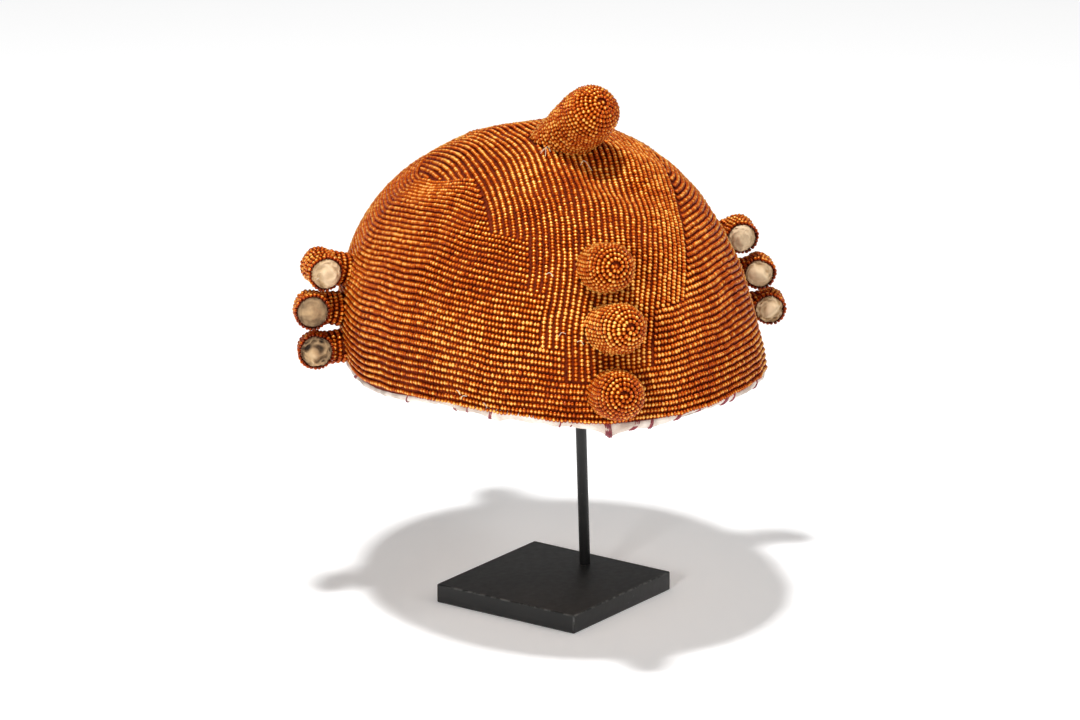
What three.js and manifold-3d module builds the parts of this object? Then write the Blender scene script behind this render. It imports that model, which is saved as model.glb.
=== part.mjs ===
// Beaded headdress on a plain display stand, in millimetres, +Z up.
// The origin is the centre of the base plate's underside. The front of the headdress faces -Y, and
// left and right are the viewer's, so +X is to the right.
// A cloth cap carries a thick cover of beadwork. A padded knob leans forward from the crown, three
// blunt horns stand on the front and on the back, and three elbows on each side turn to the front,
// where their cut ends show the stuffing. A rod from a square plate carries the crown from inside.
import * as THREE from 'three';
import { mergeVertices } from 'three/addons/utils/BufferGeometryUtils.js';
import Module from 'manifold-3d';

const wasm = await Module();
wasm.setup();

const GAP = 0.3;            // between pieces that touch
const OVERSHOOT = 6;        // a cutter reaches this far past the face it opens
const WELD = 1e-4;          // points closer than this are one

// The cap's outside, over the beads, is a tall half ellipsoid that leans a little
const CAP = {
  halfWidth: 88,
  halfLength: 104,
  height: 98.2,
  rimHeight: 108.7,
  fullness: 2.26,      // exponent of the side profile: 2 is an ellipse, more is squarer
  planFullness: 2.1,   // the same for the plan
  leanBack: 4,         // the crown lies this far behind the middle of the rim
  sway: 20.5,          // the sides bow to the left below the crown
  swayStart: -17,
};
// The rim isn't flat: front and back rise, the sides dip
const RIM = { front: 1, right: -1.7, saddle: 1.7, ripple: -2.9 };
// The dent in front of the knob is a crease that runs forward to the right
const DENT = { x: 13, y: -40, depth: 6, turn: -35, length: 13, width: 8.5 };

const BEADWORK = 2.4;       // one bead thick
const LINING = 1.5;         // stiffened white cloth
const HEM_DEPTH = 3.5;      // the cloth shows below the last row of beads
const CAP_COLUMNS = 40;
const CAP_ROWS = 10;
const NORMAL_STEP = 0.002;  // for the slope of the cap's surface
const CORE_LOW = -0.02;     // the solid that cuts the horns reaches just below the rim

const KNOB = { foot: [-2.2, -1.6, 199.5], tip: [0.253, -0.754, 0.604] };
// The knob's outline from foot to tip
const KNOB_OUTLINE = [
  { along: -4, radius: 10.8 },
  { along: 8, radius: 11.2 },
  { along: 17, radius: 11.7 },
  { along: 26, radius: 12.2 },
  { along: 33, radius: 12.5 },
  { along: 38, radius: 12 },
  { along: 42.2, radius: 10.2 },
  { along: 45, radius: 7.4 },
  { along: 46.8, radius: 3.9 },
];
const KNOB_LENGTH = 47.3;

// The blunt horns on the front and the back: where each stands on the cap, how far it leans
// up and to the right, and its length beyond the cap
const FRONT_HORNS = [
  { place: 'top', x: -5.8, y: -82, z: 169.6, up: 18, right: 0, length: 22 },
  { place: 'middle', x: -6.6, y: -95.7, z: 147.8, up: 15, right: 10, length: 21 },
  { place: 'bottom', x: -7.7, y: -102.7, z: 122.1, up: 13, right: -2, length: 21 },
];
const BACK_HORNS = [
  { place: 'top', x: -3, y: 86, z: 169, up: 16, right: 3, length: 22 },
  { place: 'middle', x: -2, y: 97.5, z: 147, up: 12, right: -4, length: 22 },
  { place: 'bottom', x: -1, y: 103.2, z: 122.5, up: 10, right: 2, length: 21 },
];
const HORN_RADIUS = 10.8;
const HORN_ROOT = 9;        // length inside the cap's outside, cut away where it meets the beads
const HORN_SIDES = 14;
const TIP = { length: 1.1, bluntness: 0.9, steps: 5 };   // length in radii, exponent of the rounding

// The side horns: the middle of each cut end, its radius, its length back to the rounded bend, how
// far the end hooks in towards the cap and how far it droops, and how far the neck drops to the cap
const SIDE_HORNS = [
  { side: 'left', place: 'top', x: -96, z: 148.4, radius: 8.3, length: 19, hook: 0, droop: 4, drop: 6 },
  { side: 'left', place: 'middle', x: -102, z: 132, radius: 8.3, length: 17, hook: -12, droop: -3, drop: 4 },
  { side: 'left', place: 'bottom', x: -100.6, z: 114.6, radius: 8.3, length: 16, hook: -13, droop: -6, drop: 0 },
  { side: 'right', place: 'top', x: 89.5, z: 147.8, radius: 7.9, length: 17, hook: 4, droop: 5, drop: 5 },
  { side: 'right', place: 'middle', x: 97.6, z: 131.2, radius: 7.7, length: 15, hook: 13, droop: 1, drop: 3 },
  { side: 'right', place: 'bottom', x: 102.4, z: 114.8, radius: 7.7, length: 15, hook: 14, droop: 3, drop: 1 },
];
const CUT_END_Y = 15;
const NECK_ROOT_X = 70;     // well inside the cap
const NECK_SLIMMER = 0.7;   // than the horn, in radius
const ELBOW_SIDES = 12;
const BEND_STEPS = 4;
const CUT_RECESS = 2.5;     // the stuffing sits this deep inside the ring of beads
const STUFFING_RIM = 1.4;   // beads and cloth round it
const STUFFING = { crown: 1.6, shoulder: 0.75, flat: 0.6 };   // bulge, and its shoulder in parts

// Stand
const PLATE = { side: 72, thickness: 8.4, turn: -53.2, edge: 0.6 };
const ROD_RADIUS = 2.35;
const ROD_FOOT = new THREE.Vector3(18.9, 14.3, 2.4);
const ROD_TOP = new THREE.Vector3(9, 2, 197.5);
const ROD_SIDES = 12;
const SOCKET_DEPTH = 6;
const REST = { radius: 24, bottom: 192.5, sides: 24 };

const colour = (hex, roughness, metalness = 0) =>
  new THREE.MeshStandardMaterial({ color: hex, roughness, metalness });
const BEADS = colour(0x8f4413, 0.35);
const WHITE_CLOTH = colour(0xd9d2c6, 0.9);
const STUFFING_CLOTH = colour(0xc9b18a, 0.95);
const BLACK_METAL = colour(0x1a1a1b, 0.45, 0.6);
const REST_WOOD = colour(0x4a4038, 0.8);

const radians = THREE.MathUtils.degToRad;
const signedPower = (value, power) => Math.sign(value) * Math.abs(value) ** power;

// A point of the cap's outside. turn is the angle from the front towards the right, and rise goes
// from 0 at the rim to 1 at the crown
function capOutside(turn, rise) {
  const reach = Math.sqrt(Math.max(0, 1 - Math.max(0, rise) ** CAP.fullness));
  const corner = 2 / CAP.planFullness;
  const x = CAP.swayStart * rise + CAP.sway * rise ** 2
    + CAP.halfWidth * reach * signedPower(Math.sin(turn), corner);
  const y = CAP.leanBack * rise - CAP.halfLength * reach * signedPower(Math.cos(turn), corner);
  const wave = RIM.front * Math.cos(turn) + RIM.right * Math.sin(turn)
    + RIM.saddle * Math.cos(2 * turn) + RIM.ripple * Math.cos(4 * turn);
  const [offX, offY] = [x - DENT.x, y - DENT.y];
  const downDent = offX * Math.cos(radians(DENT.turn)) + offY * Math.sin(radians(DENT.turn));
  const acrossDent = offY * Math.cos(radians(DENT.turn)) - offX * Math.sin(radians(DENT.turn));
  const fromDent = (downDent / DENT.length) ** 2 + (acrossDent / DENT.width) ** 2;
  const dent = DENT.depth * Math.exp(-fromDent / 2);
  const z = CAP.rimHeight + CAP.height * rise + (1 - rise) * wave - dent;
  return new THREE.Vector3(x, y, z);
}

// The same point moved inwards, square to the surface
function capPoint(turn, rise, inset) {
  const point = capOutside(turn, rise);
  if (rise === 1) return point.add(new THREE.Vector3(0, 0, -inset));
  const right = capOutside(turn + NORMAL_STEP, rise);
  const across = right.sub(capOutside(turn - NORMAL_STEP, rise));
  const high = capOutside(turn, Math.min(rise + NORMAL_STEP, 1));
  const upwards = high.sub(capOutside(turn, rise - NORMAL_STEP));
  const outwards = across.cross(upwards).normalize();
  return point.addScaledVector(outwards, -inset);
}

function meshFrom(points, faces) {
  const geometry = new THREE.BufferGeometry();
  const flat = points.flatMap((point) => [point.x, point.y, point.z]);
  geometry.setAttribute('position', new THREE.Float32BufferAttribute(flat, 3));
  geometry.setIndex(faces.flat());
  return geometry;
}

// One skin of the cap as rings of points from its lower edge to the crown
function capSkin(inset, lowRise) {
  const points = [];
  for (let row = 0; row < CAP_ROWS; row++) {
    const climb = Math.sin((row / CAP_ROWS) * Math.PI / 2);
    const rise = lowRise + (1 - lowRise) * climb;
    for (let column = 0; column < CAP_COLUMNS; column++) {
      points.push(capPoint((column / CAP_COLUMNS) * 2 * Math.PI, rise, inset));
    }
  }
  points.push(capPoint(0, 1, inset));
  return points;
}

// Faces of such a skin, looking outwards
function skinFaces() {
  const faces = [];
  const crown = CAP_ROWS * CAP_COLUMNS;
  for (let column = 0; column < CAP_COLUMNS; column++) {
    const next = (column + 1) % CAP_COLUMNS;
    for (let row = 0; row < CAP_ROWS - 1; row++) {
      const low = row * CAP_COLUMNS;
      const high = low + CAP_COLUMNS;
      faces.push([low + column, low + next, high + next], [low + column, high + next, high + column]);
    }
    const last = (CAP_ROWS - 1) * CAP_COLUMNS;
    faces.push([last + column, last + next, crown]);
  }
  return faces;
}

const shifted = (faces, by) => faces.map((face) => face.map((index) => index + by));
const flipped = (faces) => faces.map(([a, b, c]) => [a, c, b]);

// A wall between two skins, open below
function capWall(outerInset, innerInset, lowRise) {
  const outer = capSkin(outerInset, lowRise);
  const inner = capSkin(innerInset, lowRise);
  const faces = [...skinFaces(), ...flipped(shifted(skinFaces(), outer.length))];
  for (let column = 0; column < CAP_COLUMNS; column++) {
    const next = (column + 1) % CAP_COLUMNS;
    const innerNow = outer.length + column;
    const innerNext = outer.length + next;
    faces.push([column, innerNow, innerNext], [column, innerNext, next]);
  }
  return meshFrom([...outer, ...inner], faces);
}

// The whole space inside a skin, closed by a flat fan below
function capCore(inset, lowRise) {
  const skin = capSkin(inset, lowRise);
  const middle = skin.length;
  const faces = skinFaces();
  for (let column = 0; column < CAP_COLUMNS; column++) {
    faces.push([(column + 1) % CAP_COLUMNS, column, middle]);
  }
  return meshFrom([...skin, new THREE.Vector3(0, 0, skin[0].z)], faces);
}

// Solids for the cuts
function solidOf(geometry) {
  const bare = geometry.clone();
  bare.deleteAttribute('normal');
  bare.deleteAttribute('uv');
  const merged = mergeVertices(bare, WELD);
  const vertProperties = new Float32Array(merged.attributes.position.array);
  const triVerts = new Uint32Array(merged.index.array);
  return new wasm.Manifold(new wasm.Mesh({ numProp: 3, vertProperties, triVerts }));
}

function geometryOf(solid) {
  const { vertProperties, triVerts } = solid.getMesh();
  const geometry = new THREE.BufferGeometry();
  geometry.setAttribute('position', new THREE.BufferAttribute(new Float32Array(vertProperties), 3));
  geometry.setIndex(new THREE.BufferAttribute(new Uint32Array(triVerts), 1));
  geometry.computeVertexNormals();
  return geometry;
}

// A named mesh where it stands
function piece(name, geometry, material, position = [0, 0, 0], quaternion = null) {
  const mesh = new THREE.Mesh(geometry, material);
  mesh.name = name;
  mesh.position.set(...position);
  if (quaternion) mesh.quaternion.copy(quaternion);
  mesh.updateMatrix();
  return mesh;
}

// The same mesh less some geometries that are given in the part's own frame
function cutBy(mesh, ...cutters) {
  let solid = solidOf(mesh.geometry.clone().applyMatrix4(mesh.matrix));
  for (const cutter of cutters) solid = solid.subtract(solidOf(cutter));
  mesh.geometry = geometryOf(solid).applyMatrix4(mesh.matrix.clone().invert());
  return mesh;
}

const UP = new THREE.Vector3(0, 1, 0);
const along = (direction) => new THREE.Quaternion().setFromUnitVectors(UP, direction);

// A plain round bar, as a cutter or a piece
function barGeometry(radius, length, sides) {
  const geometry = new THREE.CylinderGeometry(radius, radius, length, sides);
  geometry.translate(0, length / 2, 0);
  return geometry;
}

function barAt(foot, direction, radius, length, sides) {
  const geometry = barGeometry(radius, length, sides);
  return geometry.applyQuaternion(along(direction)).translate(foot.x, foot.y, foot.z);
}

// Padded knob and blunt horns
function outlineOf(rows, length) {
  const points = rows.map((row) => new THREE.Vector2(row.radius, row.along));
  return [new THREE.Vector2(0, rows[0].along), ...points, new THREE.Vector2(0, length)];
}

function hornOutline(length) {
  const points = [new THREE.Vector2(0, -HORN_ROOT), new THREE.Vector2(HORN_RADIUS, -HORN_ROOT)];
  const roundLength = HORN_RADIUS * TIP.length;
  for (let step = 0; step < TIP.steps; step++) {
    const angle = (step / TIP.steps) * Math.PI / 2;
    const height = length - roundLength * (1 - Math.sin(angle));
    points.push(new THREE.Vector2(HORN_RADIUS * Math.cos(angle) ** TIP.bluntness, height));
  }
  points.push(new THREE.Vector2(0, length));
  return points;
}

function directionOf(facing, up, right) {
  const level = Math.cos(radians(up));
  const x = Math.sin(radians(right)) * level;
  const y = facing * Math.cos(radians(right)) * level;
  return new THREE.Vector3(x, y, Math.sin(radians(up)));
}

const hat = new THREE.Group();
const capSolid = capCore(-GAP, CORE_LOW);

// The cap
const liningOutside = BEADWORK + GAP;
const liningInside = liningOutside + LINING;
hat.add(piece('beaded_cover', capWall(0, BEADWORK, 0), BEADS));
hat.add(piece('cap_lining', capWall(liningOutside, liningInside, -HEM_DEPTH / CAP.height), WHITE_CLOTH));

// The knob on the crown
const knobDirection = new THREE.Vector3(...KNOB.tip).normalize();
const knobShape = new THREE.LatheGeometry(outlineOf(KNOB_OUTLINE, KNOB_LENGTH), HORN_SIDES);
hat.add(cutBy(piece('top_knob', knobShape, BEADS, KNOB.foot, along(knobDirection)), capSolid));

// The blunt horns
for (const [end, facing, horns] of [['front', -1, FRONT_HORNS], ['back', 1, BACK_HORNS]]) {
  for (const horn of horns) {
    const shape = new THREE.LatheGeometry(hornOutline(horn.length), HORN_SIDES);
    const turn = along(directionOf(facing, horn.up, horn.right));
    const mesh = piece(`${end}_horn_${horn.place}`, shape, BEADS, [horn.x, horn.y, horn.z], turn);
    hat.add(cutBy(mesh, capSolid));
  }
}

// The side horns and the stuffing in their cut ends
function stubShape(radius, length) {
  const points = [new THREE.Vector2(0, -length)];
  for (let step = 1; step <= BEND_STEPS; step++) {
    const angle = (step / BEND_STEPS) * Math.PI / 2;
    points.push(new THREE.Vector2(radius * Math.sin(angle), radius - length - radius * Math.cos(angle)));
  }
  points.push(new THREE.Vector2(radius, 0), new THREE.Vector2(0, 0));
  return new THREE.LatheGeometry(points, ELBOW_SIDES);
}

function stuffingShape(radius) {
  const points = [
    new THREE.Vector2(0, GAP),
    new THREE.Vector2(radius, GAP),
    new THREE.Vector2(radius, CUT_RECESS),
    new THREE.Vector2(radius * STUFFING.flat, CUT_RECESS + STUFFING.crown * STUFFING.shoulder),
    new THREE.Vector2(0, CUT_RECESS + STUFFING.crown),
  ];
  return new THREE.LatheGeometry(points, ELBOW_SIDES);
}

for (const horn of SIDE_HORNS) {
  const sideways = Math.sign(horn.x);
  const facing = directionOf(-1, -horn.droop, -sideways * horn.hook);
  const end = new THREE.Vector3(horn.x, CUT_END_Y, horn.z);
  const bend = end.clone().addScaledVector(facing, horn.radius - horn.length);
  const root = new THREE.Vector3(sideways * NECK_ROOT_X, bend.y, bend.z - horn.drop);
  const neckRun = root.clone().sub(bend);
  const neckWay = neckRun.clone().normalize();
  const neck = barAt(bend, neckWay, horn.radius - NECK_SLIMMER, neckRun.length(), ELBOW_SIDES);
  const stub = stubShape(horn.radius, horn.length).applyQuaternion(along(facing)).translate(end.x, end.y, end.z);
  const elbow = geometryOf(solidOf(stub).add(solidOf(neck)));
  const recessFoot = end.clone().addScaledVector(facing, -CUT_RECESS);
  const recessRadius = horn.radius - STUFFING_RIM;
  const recess = barAt(recessFoot, facing, recessRadius, CUT_RECESS + OVERSHOOT, ELBOW_SIDES);
  hat.add(cutBy(piece(`${horn.side}_horn_${horn.place}`, elbow, BEADS), capSolid, recess));
  const plug = stuffingShape(recessRadius - GAP);
  const name = `${horn.side}_stuffing_${horn.place}`;
  hat.add(piece(name, plug, STUFFING_CLOTH, recessFoot.toArray(), along(facing)));
}

// The stand
const stand = new THREE.Group();
const rodDirection = ROD_TOP.clone().sub(ROD_FOOT).normalize();
const rodLength = ROD_TOP.distanceTo(ROD_FOOT);

function plateShape() {
  const half = PLATE.side / 2 - PLATE.edge;
  const outline = new THREE.Shape([
    new THREE.Vector2(-half, -half),
    new THREE.Vector2(half, -half),
    new THREE.Vector2(half, half),
    new THREE.Vector2(-half, half),
  ]);
  const geometry = new THREE.ExtrudeGeometry(outline, {
    depth: PLATE.thickness - 2 * PLATE.edge,
    bevelSize: PLATE.edge,
    bevelThickness: PLATE.edge,
    bevelSegments: 1,
  });
  return geometry.translate(0, 0, PLATE.edge);
}

// A socket that holds the rod with a small gap all round
function rodSocket(endPoint, direction) {
  const foot = endPoint.clone().addScaledVector(direction, -GAP);
  return barAt(foot, direction, ROD_RADIUS + GAP, SOCKET_DEPTH + OVERSHOOT, ROD_SIDES);
}

const plateTurn = new THREE.Quaternion().setFromAxisAngle(new THREE.Vector3(0, 0, 1), radians(PLATE.turn));
const plate = piece('stand_base', plateShape(), BLACK_METAL, [0, 0, 0], plateTurn);
stand.add(cutBy(plate, rodSocket(ROD_FOOT, rodDirection)));

const rodShape = barGeometry(ROD_RADIUS, rodLength, ROD_SIDES);
stand.add(piece('stand_rod', rodShape, BLACK_METAL, ROD_FOOT.toArray(), along(rodDirection)));

// The crown rest is a disc whose top follows the inside of the crown
const restBar = barGeometry(REST.radius, CAP.rimHeight + CAP.height - REST.bottom, REST.sides);
restBar.rotateX(Math.PI / 2);
restBar.translate(ROD_TOP.x, ROD_TOP.y, REST.bottom);
const underCrown = solidOf(capCore(liningInside + GAP, 0));
const restSolid = solidOf(restBar).intersect(underCrown);
const rest = piece('crown_rest', geometryOf(restSolid), REST_WOOD);
stand.add(cutBy(rest, rodSocket(ROD_TOP, rodDirection.clone().negate())));

const headdress = new THREE.Group();
headdress.add(hat, stand);

export default headdress;
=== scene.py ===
# Beaded headdress on a plain display stand.
# The frame is in metres, and sizes here are millimetres, turned to metres where they meet Blender.
# The front faces -Y. Left and right are the viewer's, so +X is to the right.
import math
from contextlib import contextmanager

import bmesh
import bpy
import numpy as np
from mathutils import Matrix, Vector, noise
from mathutils.kdtree import KDTree


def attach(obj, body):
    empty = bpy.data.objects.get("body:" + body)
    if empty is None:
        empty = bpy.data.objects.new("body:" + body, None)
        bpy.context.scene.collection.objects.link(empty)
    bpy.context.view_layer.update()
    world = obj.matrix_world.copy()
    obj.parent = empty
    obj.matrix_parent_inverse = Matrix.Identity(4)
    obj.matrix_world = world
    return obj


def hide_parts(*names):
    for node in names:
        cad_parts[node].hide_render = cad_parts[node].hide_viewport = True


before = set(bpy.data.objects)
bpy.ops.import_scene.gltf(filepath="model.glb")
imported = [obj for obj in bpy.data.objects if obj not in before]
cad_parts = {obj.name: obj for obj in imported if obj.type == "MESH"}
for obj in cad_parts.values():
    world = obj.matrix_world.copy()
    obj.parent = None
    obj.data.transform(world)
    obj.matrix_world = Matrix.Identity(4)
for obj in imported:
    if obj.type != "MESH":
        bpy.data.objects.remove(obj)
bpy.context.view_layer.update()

MM = 0.001


def table(columns, *rows):
    """Rows of values under named columns."""
    names = columns.split()
    return [dict(zip(names, row)) for row in rows]


# The camera stands where the photographer stood
VIEW = {"azimuth": -17.7, "elevation": 17.0, "distance": 3000, "frame_width": 459, "aim_right": -5.92,
        "aim_height": 105.94}
SENSOR = 36
LIGHT_AIM = (0, 0, 120)

# The cap, over its beads, as in the construction
CAP = {"half_width": 88, "half_length": 104, "height": 98.2, "rim_height": 108.7, "fullness": 2.26,
       "plan_fullness": 2.1, "lean_back": 4, "sway": 20.5, "sway_start": -17}
RIM = {"front": 1, "right": -1.7, "saddle": 1.7, "ripple": -2.9}
DENT = {"x": 13, "y": -40, "depth": 6, "turn": -35, "length": 13, "width": 8.5}

# Seed beads
BEAD_RADIUS = 1.2
BEAD_END_RADIUS = 0.82
BEAD_LENGTH = 1.46
BEAD_PITCH = 1.58           # along a row
BEAD_JITTER = 0.04          # how unevenly beads sit on their thread, as a share of the pitch
ROW_PITCH = 2.55            # from row to row on the cap
HORN_PITCH = 2.4
KNOB_PITCH = 2.05
BEAD_SIDES = 6

# The rows that run round the cap aren't quite parallel to its rim. At each turn, the lines give how
# many millimetres a row lies above its plain height at the rim, 30 mm, 80 mm and 105 mm up the cloth.
DRIFT_HEIGHTS = {"rim": 0, "low": 30, "high": 80, "top": 105}
ROW_DRIFT = table(
    "turn rim low high top",
    (-180, 0, 0, 0, 0),
    (-150, 0.5, -1, -6, -7),
    (-120, 1.2, 0, -8, -11),
    (-103, 1.5, 2, -6, -11),
    (-90, 1.7, 4, 0.5, -5),
    (-77, 2.2, 5.5, 4.6, 0.5),
    (-64, 0.7, 4.9, 4.2, 2.5),
    (-54, -0.5, 2.9, 2.3, 1),
    (-45, -1.3, 1.3, 0.9, 0.6),
    (-30, -2, 0, 0, 0),
    (-15, -0.7, 0.4, 0, 0),
    (0, 1.1, 0, 0, 0),
    (15, 0, 0, 0, 0),
    (30, -0.9, 0, 0, 0),
    (60, -0.5, 0, 1.5, 3),
    (75, 0, 0, 4, 6),
    (95, 0, 0, 4, 6),
    (130, 0, 0, 2, 3),
    (180, 0, 0, 0, 0),
)

RIM_ROWS = 7                # rows that run all the way round
ROUND_ROWS = 60             # more than reach the crown
SEAM_GAP = 0.12

# The middle band's rows run from front to back, and swing to the left on their way down the front
BAND_SWING = table(
    "rise shift",
    (0, -15), (0.2, -13.8), (0.35, -11.8), (0.45, -9.8), (0.55, -6.6), (0.66, -3.6), (0.8, -1.5),
    (1, 0),
)
# Each line gives the row, counted from the rim, from which the band reaches from its left row to
# its right row. Row 0 is just right of the middle.
BAND_FRONT = table(
    "from_row left right",
    (7, -4, 2), (9, -4, 10), (12, -8, 10), (18, -8, 16), (21, -11, 16), (30, -17, 16), (40, -40, 16),
)
BAND_BACK = table(
    "from_row left right",
    (7, -9, 8), (16, -12, 12), (28, -17, 16), (40, -40, 16),
)

# Knob and horns, as in the construction
KNOB = {"foot": (-2.2, -1.6, 199.5), "tip": (0.253, -0.754, 0.604)}
KNOB_OUTLINE = table(
    "along radius",
    (-4, 10.8), (8, 11.2), (17, 11.7), (26, 12.2), (33, 12.5), (38, 12.1), (42.4, 10.4), (45.4, 7.5),
    (47.1, 3.9), (47.5, 0.3),
)
BLUNT_HORNS = table(
    "end place foot up right length",
    ("front", "top", (-5.8, -82, 169.6), 18, 0, 22),
    ("front", "middle", (-6.6, -95.7, 147.8), 15, 10, 21),
    ("front", "bottom", (-7.7, -102.7, 122.1), 13, -2, 21),
    ("back", "top", (-3, 86, 169), 16, 3, 22),
    ("back", "middle", (-2, 97.5, 147), 12, -4, 22),
    ("back", "bottom", (-1, 103.2, 122.5), 10, 2, 21),
)
HORN_RADIUS = 10.8
HORN_ROOT = 5
HORN_TIP = {"length": 1.1, "bluntness": 0.9}
SIDE_HORNS = table(
    "side place x z radius length hook droop drop",
    ("left", "top", -96, 148.4, 8.3, 19, 0, 4, 6),
    ("left", "middle", -102, 132, 8.3, 17, -12, -3, 4),
    ("left", "bottom", -100.6, 114.6, 8.3, 16, -13, -6, 0),
    ("right", "top", 89.5, 147.8, 7.9, 17, 4, 5, 5),
    ("right", "middle", 97.6, 131.2, 7.7, 15, 13, 1, 3),
    ("right", "bottom", 102.4, 114.8, 7.7, 15, 14, 3, 1),
)
CUT_END_Y = 15
NECK_ROOT_X = 70
NECK_SLIMMER = 0.7
CUT_RECESS = 2.5
STUFFING_RIM = 1.4
CORE_INSET = 1.5            # from the outside of the beads to the cloth of a knob or horn
SPIN_STEPS = 28
KNOB_CLEARING = {"length": 20, "radius": 10.4}   # where the knob leaves no room for cap beads
FOOT_LENGTH = 24            # how much of a horn is tested for cap beads under it
FOOT_OVERLAP = 0.9          # how far cap beads reach under a horn's beads

# Cloth
BACKING = {"inset": 1.5, "thickness": 0.7}
LINING = {"inset": 2.7, "thickness": 1.5, "hem": 1.5}

# Threads
THREAD_RADII = {"stitch": 0.36, "loose": 0.13, "frayed": 0.14}
THREAD_SIDES = 5

# Stand
PLATE = {"side": 72, "thickness": 8.4, "turn": -53.2, "edge": 0.75}
ROD = {"radius": 2.35, "foot": (18.9, 14.3, 2.4), "top": (9, 2, 197.5)}

chance = np.random.default_rng(11)


# Small helpers
def clear_selection():
    if bpy.context.object and bpy.context.object.mode != "OBJECT":
        bpy.ops.object.mode_set(mode="OBJECT")
    bpy.ops.object.select_all(action="DESELECT")


def newest(name):
    """The object that the last operator made, under its own name."""
    piece = bpy.context.object
    piece.name = piece.data.name = name
    return piece


@contextmanager
def editing():
    """Edit mode, with the whole mesh selected."""
    bpy.ops.object.mode_set(mode="EDIT")
    bpy.ops.mesh.select_all(action="SELECT")
    yield
    bpy.ops.object.mode_set(mode="OBJECT")


def seated(spot, direction):
    """The move that takes a piece made upright at the middle to a spot, its top turned this way."""
    return Matrix.Translation(spot) @ Vector(direction).to_track_quat("Z", "Y").to_matrix().to_4x4()


def place(piece, *nodes, slot):
    """The piece rides on the one body and stands for its CAD nodes. Its slot is not used."""
    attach(piece, "root")
    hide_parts(*nodes)


def at(vector):
    """A place in millimetres as a vector in metres."""
    return Vector(vector) * MM


def mesh_piece(name, points, faces):
    """A new smooth mesh object from points in millimetres."""
    mesh = bpy.data.meshes.new(name)
    mesh.from_pydata((np.asarray(points) * MM).tolist(), [], faces)
    mesh.polygons.foreach_set("use_smooth", np.full(len(mesh.polygons), True))
    mesh.update()
    piece = bpy.data.objects.new(name, mesh)
    bpy.context.collection.objects.link(piece)
    return piece


def paint(piece, name, values):
    """Keeps one number for each vertex, for the piece's material to read."""
    layer = piece.data.attributes.new(name, "FLOAT", "POINT")
    layer.data.foreach_set("value", np.asarray(values, dtype=np.float32))


def unit(vectors):
    lengths = np.linalg.norm(vectors, axis=-1, keepdims=True)
    return vectors / np.maximum(lengths, 1e-12)


def ripple(points, wavelength, seed):
    """A smooth wandering number from about -1 to 1 at each point, the same on every run."""
    waves = np.random.default_rng(seed)
    directions = unit(waves.normal(size=(6, 3))) * (2 * math.pi / wavelength)
    directions *= waves.uniform(0.7, 1.4, size=(6, 1))
    phases = waves.uniform(0, 2 * math.pi, size=6)
    return np.sin(points @ directions.T + phases).sum(axis=-1) / 3.2


# The cap's surface
def signed_power(value, power):
    return np.sign(value) * np.abs(value) ** power


def cap_outside(turn, rise):
    """Points of the cap's outside in millimetres. rise is 0 at the rim and 1 at the crown."""
    turn, rise = np.broadcast_arrays(np.asarray(turn, float), np.asarray(rise, float))
    reach = np.sqrt(np.maximum(0, 1 - np.maximum(0, rise) ** CAP["fullness"]))
    corner = 2 / CAP["plan_fullness"]
    x = cap_lean(rise) + CAP["half_width"] * reach * signed_power(np.sin(turn), corner)
    y = CAP["lean_back"] * rise - CAP["half_length"] * reach * signed_power(np.cos(turn), corner)
    wave = RIM["front"] * np.cos(turn) + RIM["right"] * np.sin(turn)
    wave = wave + RIM["saddle"] * np.cos(2 * turn) + RIM["ripple"] * np.cos(4 * turn)
    way = math.radians(DENT["turn"])
    off_x, off_y = x - DENT["x"], y - DENT["y"]
    down_dent = (off_x * math.cos(way) + off_y * math.sin(way)) / DENT["length"]
    across_dent = (off_y * math.cos(way) - off_x * math.sin(way)) / DENT["width"]
    dent = DENT["depth"] * np.exp(-(down_dent ** 2 + across_dent ** 2) / 2)
    z = CAP["rim_height"] + CAP["height"] * rise + (1 - rise) * wave - dent
    return np.stack([x, y, z], axis=-1)


def cap_lean(rise):
    return CAP["sway_start"] * rise + CAP["sway"] * rise ** 2


def cap_outwards(turn, rise):
    """The direction square to the surface."""
    step = 0.002
    across = cap_outside(turn + step, rise) - cap_outside(turn - step, rise)
    upwards = cap_outside(turn, np.minimum(rise + step, 1)) - cap_outside(turn, rise - step)
    outwards = np.cross(across, upwards)
    flat = np.linalg.norm(outwards, axis=-1, keepdims=True) < 1e-6
    return unit(np.where(flat, (0, 0, 1), outwards))


# Climb is the way up the surface from the rim, measured along the cloth
TURN_STEPS = 720
RISE_STEPS = 240
TURNS = np.linspace(-math.pi, math.pi, TURN_STEPS + 1)
RISES = np.sin(np.linspace(0, math.pi / 2, RISE_STEPS + 1))
SURFACE = cap_outside(TURNS[:, None], RISES[None, :])
CLIMB = np.concatenate([np.zeros((TURN_STEPS + 1, 1)),
                        np.cumsum(np.linalg.norm(np.diff(SURFACE, axis=1), axis=2), axis=1)], axis=1)


def surface_finder():
    """A tree of places on the cap's outside, to find the nearest one."""
    places = SURFACE[::4, ::4].reshape(-1, 3)
    outwards = cap_outwards(TURNS[::4, None], RISES[None, ::4]).reshape(-1, 3)
    tree = KDTree(len(places))
    for number, spot in enumerate(places):
        tree.insert(spot, number)
    tree.balance()
    return tree, places, outwards


NEAREST, NEAR_PLACES, NEAR_OUTWARDS = surface_finder()


def height_over_cap(points):
    """How many millimetres each point lies outside the cap, negative inside."""
    found = [NEAREST.find(spot)[1] for spot in points]
    return ((points - NEAR_PLACES[found]) * NEAR_OUTWARDS[found]).sum(axis=1)


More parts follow.
